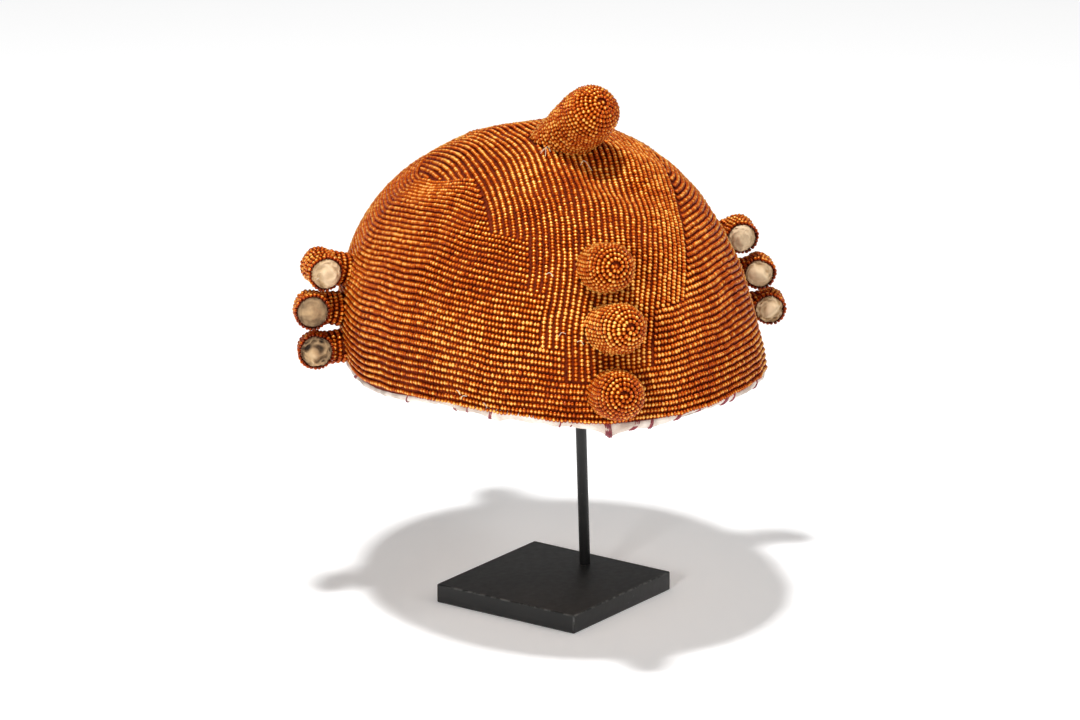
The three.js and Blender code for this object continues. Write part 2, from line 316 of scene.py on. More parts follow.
def climb_of(turn, rise):
    column = (turn + math.pi) / (2 * math.pi) * TURN_STEPS
    row = np.arcsin(np.clip(rise, 0, 1)) / (math.pi / 2) * RISE_STEPS
    low_column = np.clip(column.astype(int), 0, TURN_STEPS - 1)
    low_row = np.clip(row.astype(int), 0, RISE_STEPS - 1)
    u = column - low_column
    v = row - low_row
    low = CLIMB[low_column, low_row] * (1 - u) + CLIMB[low_column + 1, low_row] * u
    high = CLIMB[low_column, low_row + 1] * (1 - u) + CLIMB[low_column + 1, low_row + 1] * u
    return low * (1 - v) + high * v


# One seed bead, modelled once: a short barrel on its thread, lying along Z
def model_bead():
    clear_selection()
    bpy.ops.mesh.primitive_uv_sphere_add(segments=BEAD_SIDES, ring_count=4, radius=BEAD_RADIUS)
    bead = bpy.context.object
    bpy.ops.object.mode_set(mode="EDIT")
    shape = bmesh.from_edit_mesh(bead.data)
    bpy.ops.mesh.select_all(action="DESELECT")
    bpy.ops.mesh.select_mode(type="VERT")
    for vertex in shape.verts:
        vertex.select = abs(vertex.co.z) > BEAD_RADIUS * 0.95
    bpy.ops.mesh.delete(type="VERT")
    shape = bmesh.from_edit_mesh(bead.data)
    for end in (-1, 1):
        bpy.ops.mesh.select_all(action="DESELECT")
        for vertex in shape.verts:
            vertex.select = vertex.co.z * end > BEAD_RADIUS * 0.3
        shape.select_flush_mode()
        bpy.ops.mesh.edge_face_add()
    bpy.ops.mesh.select_all(action="DESELECT")
    for vertex in shape.verts:
        vertex.select = abs(vertex.co.z) > BEAD_RADIUS * 0.3
    shape.select_flush_mode()
    ring = BEAD_RADIUS * math.sqrt(0.5)
    wider = BEAD_END_RADIUS / ring
    bpy.ops.transform.resize(value=(wider, wider, BEAD_LENGTH / 2 / ring))
    bpy.ops.mesh.select_all(action="SELECT")
    bpy.ops.mesh.normals_make_consistent(inside=False)
    bpy.ops.object.mode_set(mode="OBJECT")
    points = np.array([vertex.co[:] for vertex in bead.data.vertices])
    faces = [list(face.vertices) for face in bead.data.polygons]
    bpy.data.objects.remove(bead)
    return points, faces


BEAD_POINTS, BEAD_FACES = model_bead()


class Beads:
    """Rows of beads that wait to become one mesh: their middles, thread lines and outward sides."""

    def __init__(self):
        self.rows = []

    def add(self, middle, along, out):
        if len(middle):
            self.rows.append((middle, along, out, chance.uniform(0, 1, len(middle))))

    def piece(self, name):
        middle, along, out, tone = (np.concatenate(column) for column in zip(*self.rows))
        count = len(middle)
        middle = middle + chance.normal(0, 0.06, (count, 3))
        along = unit(along + chance.normal(0, 0.09, (count, 3)))
        out = unit(out - along * (out * along).sum(axis=1, keepdims=True))
        side = np.cross(out, along)
        size = 1 + chance.normal(0, 0.045, (count, 1, 1))
        local = BEAD_POINTS[None, :, :] * size
        points = middle[:, None, :] + local[..., 0:1] * side[:, None, :]
        points = points + local[..., 1:2] * out[:, None, :] + local[..., 2:3] * along[:, None, :]
        per_bead = len(BEAD_POINTS)
        faces = [[corner + start for corner in face]
                 for start in range(0, count * per_bead, per_bead) for face in BEAD_FACES]
        piece = mesh_piece(name, points.reshape(-1, 3), faces)
        # lift runs from each bead's inner side to its outer side: the glass colours it as painted shade low
        # on the bead and a painted highlight on top
        lift = np.tile(BEAD_POINTS[:, 1] / BEAD_RADIUS * 0.5 + 0.5, count)
        paint(piece, "lift", lift)
        paint(piece, "tone", np.repeat(tone, per_bead))
        piece.data.materials.append(finish["beads"])
        return piece


def lengths_along(points):
    """The way along a line of points to each of them."""
    return np.concatenate([[0], np.cumsum(np.linalg.norm(np.diff(points, axis=0), axis=1))])


def thread_beads(points, out):
    """Beads that fill a line of points from end to end: their middles, thread lines and outward sides."""
    length = lengths_along(points)
    count = int(length[-1] / BEAD_PITCH + 0.35)
    if count < 1:
        empty = np.zeros((0, 3))
        return empty, empty, empty
    marks = (np.arange(count) + 0.5 + chance.normal(0, BEAD_JITTER, count)) * length[-1] / count
    middle, along, outwards = (
        np.stack([np.interp(marks, length, column) for column in values.T], axis=1)
        for values in (points, np.gradient(points, axis=0), out))
    return middle, unit(along), unit(outwards)


def runs_of(mask):
    """The first and last place of each unbroken run of True."""
    edges = np.diff(np.concatenate([[0], mask.astype(int), [0]]))
    return zip(np.flatnonzero(edges == 1), np.flatnonzero(edges == -1))


def thread_runs(beads, points, out, mask):
    """Threads beads along every part of a row where the mask holds."""
    for first, last in runs_of(mask):
        if last - first > 2:
            beads.add(*thread_beads(points[first:last], out[first:last]))


# Bead rows on the cap
def band_offsets():
    """How far each front-to-back row lies from the middle, so that rows are one pitch apart."""
    offsets = [ROW_PITCH / 2]
    while offsets[-1] < 78:
        x = offsets[-1]
        slope = math.sqrt(1 + (101 / CAP["half_width"]) ** 2 * x * x / (CAP["half_width"] ** 2 - x * x))
        offsets.append(x + ROW_PITCH / slope)
    return offsets


OFFSETS = band_offsets()


def offset_of(row):
    return OFFSETS[row] if row >= 0 else -OFFSETS[-row - 1]


def smooth(places, rows, key, value, width):
    """A column of a table as a smooth curve at the given places."""
    fine = np.linspace(rows[0][key], rows[-1][key], 2001)
    line = np.interp(fine, [row[key] for row in rows], [row[value] for row in rows])
    reach = int(width / (fine[1] - fine[0]) / 2)
    padded = np.pad(line, reach, mode="edge")
    window = np.hanning(2 * reach + 3)[1:-1]
    return np.interp(places, fine, np.convolve(padded, window / window.sum(), mode="valid"))


FINE_DEGREES = np.linspace(-180, 180, 721)
DRIFTS = {name: smooth(FINE_DEGREES, ROW_DRIFT, "turn", name, 22) for name in DRIFT_HEIGHTS}


def drift_at(turn, height):
    """How far the rows lie above their plain height."""
    degrees = np.degrees((turn + math.pi) % (2 * math.pi) - math.pi)
    columns = np.stack([np.interp(degrees, FINE_DEGREES, column) for column in DRIFTS.values()])
    knots = list(DRIFT_HEIGHTS.values())
    height = np.broadcast_to(np.clip(height, knots[0], knots[-1]), degrees.shape)
    total = np.zeros(degrees.shape)
    for number in range(len(knots) - 1):
        part = (height - knots[number]) / (knots[number + 1] - knots[number])
        inside = (part >= 0) & (part <= 1)
        part = part * part * (3 - 2 * part) * 0.5 + part * 0.5
        total = np.where(inside, columns[number] * (1 - part) + columns[number + 1] * part, total)
    return total


SWING_AT_TOP = smooth(1.0, BAND_SWING, "rise", "shift", 0.16)


def swing_at(rise, front):
    """The band's swing, nothing at its top, where front and back rows meet."""
    shift = smooth(rise, BAND_SWING, "rise", "shift", 0.16) - SWING_AT_TOP * rise ** 4
    return np.where(front, shift, 0)


def top_rise(offset):
    """The rise at which a row at this offset turns from the front to the back."""
    return (1 - np.minimum(np.abs(offset) / CAP["half_width"], 1) ** 2) ** (1 / CAP["fullness"])


def band_limits(rows, front):
    """The band's first and last row at each height, counted in rows, on the front or the back."""
    left = np.full(rows.shape, 99)
    right = np.full(rows.shape, -99)
    for side, lines in ((front, BAND_FRONT), (~front, BAND_BACK)):
        for line in lines:
            above = side & (rows >= line["from_row"])
            left[above] = line["left"]
            right[above] = line["right"]
    return left, right


def settle(points, out):
    """Rows wander a little and the cloth isn't quite even."""
    side = unit(np.cross(out, np.gradient(points, axis=0)))
    drift = 0.5 * ripple(points, 34, 3) + 0.14 * ripple(points, 9, 5)
    rise = 0.4 * ripple(points, 22, 8) - 0.15
    return points + side * drift[:, None] + out * rise[:, None]


FINE_TURNS = np.linspace(-math.pi, math.pi, 3001)


def row_round(row, panels):
    """A row that runs round the cap: the whole way near the rim, and up to the band above that."""
    plain = (row + 0.5) * ROW_PITCH
    climb = np.interp(FINE_TURNS, TURNS, plain + drift_at(TURNS, plain))
    fine_steps = [4 * column + column // 6 for column in range(TURN_STEPS + 1)]
    rises = [np.interp(climb[step], CLIMB[column], RISES) for column, step in enumerate(fine_steps)]
    rise = np.interp(FINE_TURNS, TURNS, rises)
    limit = np.interp(FINE_TURNS, TURNS, CLIMB[:, -1])
    on_cap = climb < limit - 2
    if not on_cap.any():
        return
    out = cap_outwards(FINE_TURNS, rise)
    outside = cap_outside(FINE_TURNS, rise)
    points = settle(outside - out * BEAD_RADIUS, out)
    open_ground = on_cap & ~under_horns(points)
    if row < RIM_ROWS:
        thread_runs(panels["rim"], points, out, open_ground)
        return
    front = np.cos(FINE_TURNS) > 0
    offset = points[:, 0] - cap_lean(rise)
    offset = offset - swing_at(rise / top_rise(offset), front)
    left, right = band_limits(np.full(len(front), row), front)
    gap = (BEAD_RADIUS + SEAM_GAP) * np.sqrt(np.maximum(1 - out[:, 0] ** 2, 0.05))
    left_edge = np.array([offset_of(number) for number in left.tolist()]) - gap
    right_edge = np.array([offset_of(number) for number in right.tolist()]) + gap
    for name, mask in (("left", offset < left_edge), ("right", offset > right_edge)):
        mask = mask & open_ground
        thread_runs(panels[f"{name}_front"], points, out, mask & front)
        thread_runs(panels[f"{name}_back"], points, out, mask & ~front)


def row_over(row, panels):
    """A row of the band, from the front over the crown to the back."""
    base = offset_of(row)
    top = top_rise(base)
    swing = np.linspace(0.0005, math.pi - 0.0005, 2400)
    front = swing < math.pi / 2
    rise = top * np.sin(swing)
    offset = base + swing_at(rise / top, front)
    reach = np.sqrt(1 - rise ** CAP["fullness"])
    sine = np.clip(np.abs(offset) / (CAP["half_width"] * reach), 0, 1) ** (CAP["plan_fullness"] / 2)
    turn = np.arcsin(np.clip(sine, 0, 1))
    turn = np.where(front, turn, math.pi - turn) * np.sign(offset)
    out = cap_outwards(turn, rise)
    points = cap_outside(turn, rise) - out * BEAD_RADIUS
    climb = climb_of(turn, rise)
    height = climb - drift_at(turn, climb - drift_at(turn, climb))
    points = settle(points, out)
    rows = (height - 0.1) / ROW_PITCH
    left, right = band_limits(rows, front)
    inside = (row >= left) & (row <= right) & ~under_horns(points)
    for name, mask in (("band_front", front), ("band_back", ~front)):
        thread_runs(panels[name], points, out, mask & inside)


# Centre lines of the knob and horns
def heading(facing, up, right):
    level = math.cos(math.radians(up))
    x = math.sin(math.radians(right)) * level
    y = facing * math.cos(math.radians(right)) * level
    return np.array([x, y, math.sin(math.radians(up))])


def blunt_outline(length):
    """Radius against height for a blunt horn, from its root to its tip."""
    angles = np.linspace(0, math.pi / 2, 40)
    rounding = HORN_RADIUS * HORN_TIP["length"]
    heights = length - rounding * (1 - np.sin(angles))
    radii = HORN_RADIUS * np.cos(angles) ** HORN_TIP["bluntness"]
    return np.concatenate([[[-HORN_ROOT, HORN_RADIUS]], np.stack([heights, radii], axis=1)])


def knob_outline():
    """The knob's outline with its corners rounded off."""
    points = np.array([[line["along"], line["radius"]] for line in KNOB_OUTLINE], float)
    for _ in range(3):
        inner = [points[0]]
        for here, there in zip(points[:-1], points[1:]):
            inner += [here * 0.75 + there * 0.25, here * 0.25 + there * 0.75]
        points = np.array(inner + [points[-1]])
    return points


def elbow_of(horn):
    """The cut end of a side horn, the way it faces, its bend and the way and length of its neck."""
    sideways = math.copysign(1, horn["x"])
    facing = heading(-1, -horn["droop"], -sideways * horn["hook"])
    end = np.array([horn["x"], CUT_END_Y, horn["z"]])
    bend = end + facing * (horn["radius"] - horn["length"])
    run = np.array([sideways * NECK_ROOT_X, bend[1], bend[2] - horn["drop"]]) - bend
    return end, facing, bend, unit(run), np.linalg.norm(run)


KNOB_FOOT = np.array(KNOB["foot"])
KNOB_DIRECTION = unit(np.array(KNOB["tip"]))


def from_line(points, start, way, length):
    """How far points lie from a straight line of the given length."""
    off = points - start
    along = np.clip(off @ way, 0, length)
    return np.linalg.norm(off - along[:, None] * way, axis=1)


def under_horns(points):
    """True for cap beads that a knob or horn stands on."""
    hidden = from_line(points, KNOB_FOOT, KNOB_DIRECTION, KNOB_CLEARING["length"]) < KNOB_CLEARING["radius"]
    for horn in BLUNT_HORNS:
        direction = heading(-1 if horn["end"] == "front" else 1, horn["up"], horn["right"])
        foot = np.array(horn["foot"])
        start = foot - direction * FOOT_LENGTH / 2
        hidden |= from_line(points, start, direction, FOOT_LENGTH) < HORN_RADIUS - FOOT_OVERLAP
    for horn in SIDE_HORNS:
        _, _, bend, way, length = elbow_of(horn)
        hidden |= from_line(points, bend, way, length) < horn["radius"] - NECK_SLIMMER - FOOT_OVERLAP
    return hidden


def bead_cap():
    """The cap's beads, as pieces that meet at the band's edges, at the sides and above the rim rows."""
    names = ("rim", "left_front", "left_back", "right_front", "right_back", "band_front", "band_back")
    panels = {name: Beads() for name in names}
    for row in range(ROUND_ROWS):
        row_round(row, panels)
    for row in range(BAND_FRONT[-1]["left"], BAND_FRONT[-1]["right"] + 1):
        row_over(row, panels)
    for name, beads in panels.items():
        place(beads.piece(f"cap_beads_{name}"), "beaded_cover", slot="amber_glass_beads")


# Knob and horns
def wind_beads(outline, foot, direction, pitch):
    """One string of beads wound from the tip down to the cap."""
    order = outline[::-1]
    length = lengths_along(order)
    slope = unit(np.gradient(order, axis=0))
    across = unit(np.cross(direction, (0, 0, 1) if abs(direction[2]) < 0.9 else (1, 0, 0)))
    other = np.cross(direction, across)
    middles = [foot + direction * (order[0, 0] - BEAD_RADIUS)]
    alongs, outs = [across], [direction]
    angle = 0.0
    mark = 1.8
    while mark < length[-1]:
        height, radius = (np.interp(mark, length, order[:, axis]) for axis in (0, 1))
        down, widening = (np.interp(mark, length, slope[:, axis]) for axis in (0, 1))
        out_height, out_radius = widening, -down
        radial = across * math.cos(angle) + other * math.sin(angle)
        ring = max(radius - BEAD_RADIUS * out_radius, 0)
        middle = foot + direction * (height - BEAD_RADIUS * out_height) + radial * ring
        middles.append(middle)
        alongs.append(other * math.cos(angle) - across * math.sin(angle))
        outs.append(direction * out_height + radial * out_radius)
        step = BEAD_PITCH / max(ring, 1.5)
        angle += step
        mark += pitch * step / (2 * math.pi)
    middles, alongs, outs = np.array(middles), np.array(alongs), np.array(outs)
    middles = middles + outs * (0.25 * ripple(middles, 14, 21) - 0.1)[:, None]
    free = (height_over_cap(middles) > -0.8) & ~crowded(middles)
    return middles[free], alongs[free], outs[free]


def ring_beads(foot, way, height, ring, lean=0.0):
    """One closed ring of beads round an axis. lean turns the beads' outer sides along the axis."""
    across = unit(np.cross(way, (0.3, 0.2, 1)))
    other = np.cross(way, across)
    count = max(int(round(2 * math.pi * ring / BEAD_PITCH)), 1)
    angles = (np.arange(count) + chance.uniform(0, 1) + chance.normal(0, BEAD_JITTER, count))
    angles = angles * 2 * math.pi / count
    radial = np.cos(angles)[:, None] * across + np.sin(angles)[:, None] * other
    along = np.cos(angles)[:, None] * other - np.sin(angles)[:, None] * across
    out = radial * math.cos(lean) + way * math.sin(lean)
    return foot + way * height + radial * ring, along, out


def wind_elbow(horn):
    """Rings of beads on a side horn: from the cut end round the bend, and on the neck to the cap."""
    end, facing, bend, neck, neck_length = elbow_of(horn)
    ring = horn["radius"] - BEAD_RADIUS
    straight = horn["length"] - horn["radius"]
    rings = []
    height = 0.9
    while height < straight:
        rings.append(ring_beads(end, -facing, height, ring))
        height += HORN_PITCH
    angle = (height - straight) / ring
    while angle < math.pi / 2:
        rings.append(ring_beads(bend, -facing, ring * math.sin(angle), ring * math.cos(angle), angle))
        angle += HORN_PITCH / ring
    stub = len(rings)
    height = 2.0
    while height < neck_length:
        rings.append(ring_beads(bend, neck, height, ring - NECK_SLIMMER))
        height += HORN_PITCH
    for number, (middles, alongs, outs) in enumerate(rings):
        middles = middles + outs * (0.3 * ripple(middles, 12, 31) - 0.1)[:, None]
        keep = height_over_cap(middles) > -0.8
        if number >= stub:
            keep &= from_line(middles, end, -facing, straight) > ring + 0.3
        yield middles[keep], alongs[keep], outs[keep]


def crowded(middles):
    """True for beads that would sit in an earlier one."""
    gaps = np.linalg.norm(middles[:, None, :] - middles[None, :, :], axis=2)
    earlier = np.tril(np.ones(gaps.shape, bool), -1)
    return ((gaps < 1.15) & earlier).any(axis=1)


def spun(name, profile, foot, direction):
    """A round solid spun from its profile, which is pairs of height and radius from axis to axis."""
    clear_selection()
    mesh = bpy.data.meshes.new(name)
    mesh.from_pydata([(radius * MM, 0, height * MM) for height, radius in profile],
                     [(k, k + 1) for k in range(len(profile) - 1)], [])
    core = bpy.data.objects.new(name, mesh)
    bpy.context.collection.objects.link(core)
    core.select_set(True)
    bpy.context.view_layer.objects.active = core
    with editing():
        bpy.ops.mesh.spin(steps=SPIN_STEPS, angle=2 * math.pi, center=(0, 0, 0), axis=(0, 0, 1))
        bpy.ops.mesh.select_all(action="SELECT")
        bpy.ops.mesh.remove_doubles(threshold=1e-6)
        bpy.ops.mesh.normals_make_consistent(inside=False)
    core.data.transform(seated(at(foot), direction))
    bpy.ops.object.shade_smooth()
    core.data.materials.append(finish["backing"])
    return core


def turned_core(name, outline, foot, direction):
    """The cloth core of the knob or a blunt horn, under its beads."""
    inner = [(height - CORE_INSET if height > 0 else height, max(radius - CORE_INSET, 0))
             for height, radius in outline]
    return spun(name, [(inner[0][0], 0)] + inner[:-1] + [(inner[-1][0], 0)], foot, direction)


def stub_core(name, horn):
    """The cloth tube of a side horn: a cup at the cut end and a rounded bend behind."""
    end, facing, _, _, _ = elbow_of(horn)
    radius = horn["radius"] - CORE_INSET
    wall = horn["radius"] - STUFFING_RIM - 0.1
    straight = horn["radius"] - horn["length"]
    profile = [(-CUT_RECESS, 0), (-CUT_RECESS, wall), (-0.7, wall), (-0.7, radius)]
    profile += [(straight - radius * math.sin(angle), radius * math.cos(angle))
                for angle in np.linspace(0, math.pi / 2, 7)]
    return spun(name, profile, end, facing)


def neck_core(name, horn):
    """The cloth neck that joins a side horn's bend to the cap, gathered a little in the middle."""
    _, _, bend, way, length = elbow_of(horn)
    radius = horn["radius"] - NECK_SLIMMER - CORE_INSET
    waist = radius - 0.4
    profile = [(0.5, 0), (0.5, radius), (length / 2, waist), (length, radius), (length, 0)]
    return spun(name, profile, bend, way)


def straighten_normals(piece):
    clear_selection()
    piece.select_set(True)
    bpy.context.view_layer.objects.active = piece
    with editing():
        bpy.ops.mesh.remove_doubles(threshold=1e-6)
        bpy.ops.mesh.normals_make_consistent(inside=False)


def make_knob():
    outline = knob_outline()
    beads = Beads()
    beads.add(*wind_beads(outline, KNOB_FOOT, KNOB_DIRECTION, KNOB_PITCH))
    place(beads.piece("knob_beads"), "top_knob", slot="amber_glass_beads")
    core = turned_core("knob_core", outline.tolist(), KNOB_FOOT, KNOB_DIRECTION)
    place(core, "top_knob", slot="amber_glass_beads")


def make_blunt_horn(horn):
    name = f"{horn['end']}_horn_{horn['place']}"
    facing = -1 if horn["end"] == "front" else 1
    direction = heading(facing, horn["up"], horn["right"])
    foot = np.array(horn["foot"])
    outline = blunt_outline(horn["length"])
    beads = Beads()
    beads.add(*wind_beads(outline, foot, direction, HORN_PITCH))
    place(beads.piece(f"{name}_beads"), name, slot="amber_glass_beads")
    core = turned_core(f"{name}_core", outline[::4].tolist() + [outline[-1].tolist()], foot, direction)
    place(core, name, slot="amber_glass_beads")


def make_side_horn(horn):
    name = f"{horn['side']}_horn_{horn['place']}"
    beads = Beads()
    for ring in wind_elbow(horn):
        beads.add(*ring)
    place(beads.piece(f"{name}_beads"), name, slot="amber_glass_beads")
    for core in (stub_core(f"{name}_core", horn), neck_core(f"{name}_neck", horn)):
        place(core, name, slot="amber_glass_beads")


# What the cut end of each side horn shows, in their order: how far the cloth bulges, how deep its
# creases are, how brown it has gone, how many folds it has and how steep they are, and its frayed ends
CUT_ENDS = table(
    "bulge crease stain folds steep frays",
    (1.6, 0.7, 0.15, 3, 1.3, 16),
    (2.6, 0.3, 0.42, 4, 1.5, 2),
    (1.2, 1.4, 0.6, 6, 1.8, 0),
    (2.0, 0.5, 0.0, 3, 0.8, 3),
    (1.9, 0.5, 0.05, 4, 1.0, 2),
    (1.8, 0.9, 0.15, 4, 1.3, 2),
)


def make_stuffing(horn, look):
    """Crumpled cloth in a cut end: a ball pressed flat, creased and seated in the horn."""
    name = f"{horn['side']}_stuffing_{horn['place']}"
    seed = len(name) * 7 + int(horn["z"])
    radius = horn["radius"] - STUFFING_RIM - 0.35
    end, facing, _, _, _ = elbow_of(horn)
    clear_selection()
    bpy.ops.mesh.primitive_ico_sphere_add(subdivisions=5, radius=1)
    cloth = newest(name + "_cloth")
    luck = np.random.default_rng(seed)
    slopes = luck.normal(0, look["steep"], (look["folds"], 2))
    levels = luck.uniform(0, 0.8, look["folds"])
    stain_and_shade = []
    for vertex in cloth.data.vertices:
        way = vertex.co.normalized()
        crumple = noise.noise(way * 1.7 + Vector((seed, 0, 0)))
        fold = 1 - abs(noise.noise(way * 2.6 + Vector((0, seed, 0)))) * 2
        fine = noise.noise(way * 9 + Vector((0, 0, seed)))
        rim = min(1, math.hypot(way.x, way.y) ** 0.6)
        flat = max(way.z, -0.1)
        folded = max((levels + slopes @ (way.x, way.y) * 3).min(), -1.6)
        creased = look["crease"] * (0.9 * crumple + 0.9 * fold + 0.2 * fine)
        height = (look["bulge"] + folded) * (1 - rim ** 4) + creased
        # painted shade: darker round the cloth's recessed edge and in the low parts of its folds
        hollow = 0.2 * rim ** 8 - 0.12 * min(folded, 0.4) - 0.25 * fold * look["crease"]
        stain_and_shade.append(look["stain"] + hollow)
        width = radius * rim * (1 + 0.02 * fine)
        direction = math.atan2(way.y, way.x)
        vertex.co.x = width * math.cos(direction)
        vertex.co.y = width * math.sin(direction)
        raised = CUT_RECESS * 0.62 * min(1, flat * 4) + height * min(1, flat * 3)
        vertex.co.z = 0.4 if way.z < 0 else 0.4 + raised
    cloth.data.transform(seated(at(end - facing * CUT_RECESS), facing) @ Matrix.Scale(MM, 4))
    bpy.ops.object.shade_smooth()
    # the stain numbers hold the plug's browning and the painted shade of its hollows
    paint(cloth, "stain", stain_and_shade)
    cloth.data.materials.append(finish["stuffing"])
    place(cloth, name, slot="cream_stuffing")
    return frayed_ends(end, facing, radius, look["frays"], seed)


def frayed_ends(middle, facing, radius, count, seed):
    """Routes of loose threads that stand in a cut end."""
    luck = np.random.default_rng(seed)
    across = unit(np.cross(facing, (0, 0, 1)))
    other = np.cross(facing, across)
    routes = []
    for _ in range(count):
        angle = luck.uniform(0, 2 * math.pi)
        reach = luck.uniform(0.15, 0.7) * radius
        start = middle + (across * math.cos(angle) + other * math.sin(angle)) * reach - facing * 1.4
        sway = across * luck.normal() + other * luck.normal()
        lean = facing * luck.uniform(0.6, 1.1)
        routes.append([start, start + lean * 1.2 + sway * 0.7, start + lean * 1.9 + sway * 2.0])
    return routes


# Threads
def strand(points, radius):
    """Points and faces of one round thread along a smooth line through the given points."""
    curve = np.asarray(points, float)
    for _ in range(2):
        quarters = [curve[:-1] * 0.75 + curve[1:] * 0.25, curve[:-1] * 0.25 + curve[1:] * 0.75]
        curve = np.concatenate([curve[:1], np.stack(quarters, axis=1).reshape(-1, 3), curve[-1:]])
    steps = len(curve)
    tangent = unit(np.gradient(curve, axis=0))
    helper = np.array([0.31, 0.52, 0.79])
    level = unit(np.cross(tangent, helper))
    upright = np.cross(tangent, level)
    angles = np.linspace(0, 2 * math.pi, THREAD_SIDES, endpoint=False)
    rings = [curve[k] + radius * (np.cos(angles)[:, None] * level[k] + np.sin(angles)[:, None] * upright[k])
             for k in range(steps)]
    last_ring = range((steps - 1) * THREAD_SIDES, steps * THREAD_SIDES)
    faces = [list(range(THREAD_SIDES - 1, -1, -1)), list(last_ring)]
    for band in range(steps - 1):
        for k in range(THREAD_SIDES):
            low, high = band * THREAD_SIDES, (band + 1) * THREAD_SIDES
            faces.append([low + k, low + (k + 1) % THREAD_SIDES, high + (k + 1) % THREAD_SIDES, high + k])
    return np.concatenate(rings), faces


def thread_piece(name, strands, material, slot, *nodes):
    """Several threads as one piece. Each is a pair of its route and its radius."""
    points, faces = [], []
    for route, radius in strands:
        more_points, more_faces = strand(route, radius)
        start = sum(len(part) for part in points)
        points.append(more_points)
        faces += [[corner + start for corner in face] for face in more_faces]
    piece = mesh_piece(name, np.concatenate(points), faces)
    straighten_normals(piece)
    piece.data.materials.append(material)
    place(piece, *nodes, slot=slot)


def surface_at(turn_degrees, rise, lift):
    """A place over the cap's outside."""
    turn = math.radians(turn_degrees)
    return cap_outside(turn, rise) + cap_outwards(turn, rise) * lift


def on_rim(turn_degrees, drop, inset):
    """A place on the rim: drop is the way below the lowest beads."""
    return surface_at(turn_degrees, 0, -inset) - np.array([0, 0, drop])


# Crimson stitches over the hem: where they are, how far they slant and how many strands lie side by side
WHIP_STITCHES = table(
    "turn slant strands",
    (-93, 3.0, 3), (-65, 0.8, 1), (-48.5, 1.0, 2), (-44.5, 0.8, 1), (-38, 1.2, 2), (-18.5, 0.9, 1),
    (-15.5, 0.8, 1), (-6, -0.8, 4), (0, 2.4, 3), (5, 0.9, 2), (12.5, 1.8, 3), (20, 1.0, 2),
    (30, 3.0, 3), (34.5, 1.2, 2), (49, 1.8, 2), (74, 1.6, 2), (104, 1.4, 2), (131, 1.8, 1),
    (158, 1.4, 2), (187, 1.6, 1), (214, 1.2, 2), (243, 1.6, 2),
)
DEGREE = math.pi * (CAP["half_width"] + CAP["half_length"]) / 360   # one degree of the rim in mm


def make_stitches():
    strands = []
    for stitch in WHIP_STITCHES:
        for number in range(stitch["strands"]):
            start = stitch["turn"] + number * 0.75 / DEGREE
            lean = stitch["slant"] / DEGREE
            reach = float(hem_depth(math.radians((start + 180) % 360 - 180)))
            route = [on_rim(start + lean, -0.8, 1.6), on_rim(start + lean * 0.85, 0.1, 0.9),
                     on_rim(start + lean * 0.4, reach * 0.55, 0.9), on_rim(start, reach * 0.9, 1.4),
                     on_rim(start, reach + 0.1, 2.4), on_rim(start, reach - 0.3, 3.4)]
            strands.append((route, THREAD_RADII["stitch"]))
    thread_piece("whip_stitches", strands, finish["thread"], "crimson_thread", "cap_lining")


# How deep the hem hangs below the beads at each turn
HEM = table(
    "turn depth",
    (-180, 2.6), (-130, 2.4), (-95, 1.4), (-84, 1.6), (-72, 1.9), (-65, 2.3), (-60, 1.5), (-49.5, 1.7),
    (-47, 3.3), (-40, 3.3), (-37, 4.8), (-34.5, 4.7), (-33, 3.4), (-26, 2.8), (-22, 2.4), (-19.5, 3),
    (-15, 2.3), (-8, 3), (-5, 5.4), (-3.5, 4.6), (-2, 3.6), (2, 2.8), (9.5, 2.3), (12, 1.6), (17, 0.8),
    (20, 0.8), (26, 2), (38, 2.8), (45, 3.3), (60, 1.8), (90, 2.4), (130, 2.9), (180, 2.6),
)


def hem_depth(turn):
    depths = np.interp(np.degrees(turn), [line["turn"] for line in HEM], [line["depth"] for line in HEM])
    circle = np.stack([np.sin(turn), np.cos(turn), turn * 0], axis=-1) * 96
    ragged = 0.3 * ripple(circle, 8, 42) + 0.22 * ripple(circle, 3.6, 43)
    return np.maximum(depths + ragged, 0.7)


def dome_shell(name, inset, thickness, drop, columns, rows):
    """A cloth shell under the cap's outside: half a ball, cut, shaped to the cap and given its thickness."""
    clear_selection()
    bpy.ops.mesh.primitive_uv_sphere_add(segments=columns, ring_count=rows * 2, radius=1)
    shell = newest(name)
    with editing():
        bpy.ops.mesh.bisect(plane_co=(0, 0, -1e-5), plane_no=(0, 0, 1), clear_inner=True)
    ball = np.array([vertex.co[:] for vertex in shell.data.vertices])
    turn = np.arctan2(ball[:, 0], -ball[:, 1])
    low = -drop / CAP["height"]
    rise = np.where(ball[:, 2] > 0.99999, 1, low + (1 - low) * np.clip(ball[:, 2], 0, 1))
    points = cap_outside(turn, rise) - cap_outwards(turn, rise) * inset
    shell.data.vertices.foreach_set("co", (points * MM).ravel())
    shell.data.update()
    wall = shell.modifiers.new("wall", "SOLIDIFY")
    wall.thickness = thickness * MM
    wall.offset = -1
    bpy.ops.object.modifier_apply(modifier=wall.name)
    bpy.ops.object.shade_smooth()
    return shell


def make_cloth():
    backing = dome_shell("cap_backing", BACKING["inset"], BACKING["thickness"], -0.6, 96, 30)
    backing.data.materials.append(finish["backing"])
    place(backing, "beaded_cover", slot="amber_glass_beads")

    lining = dome_shell("lining_cloth", LINING["inset"], LINING["thickness"], LINING["hem"], 120, 36)
    lining.data.materials.append(finish["cotton"])
    place(lining, "cap_lining", slot="white_cotton")
    hem = make_hem()


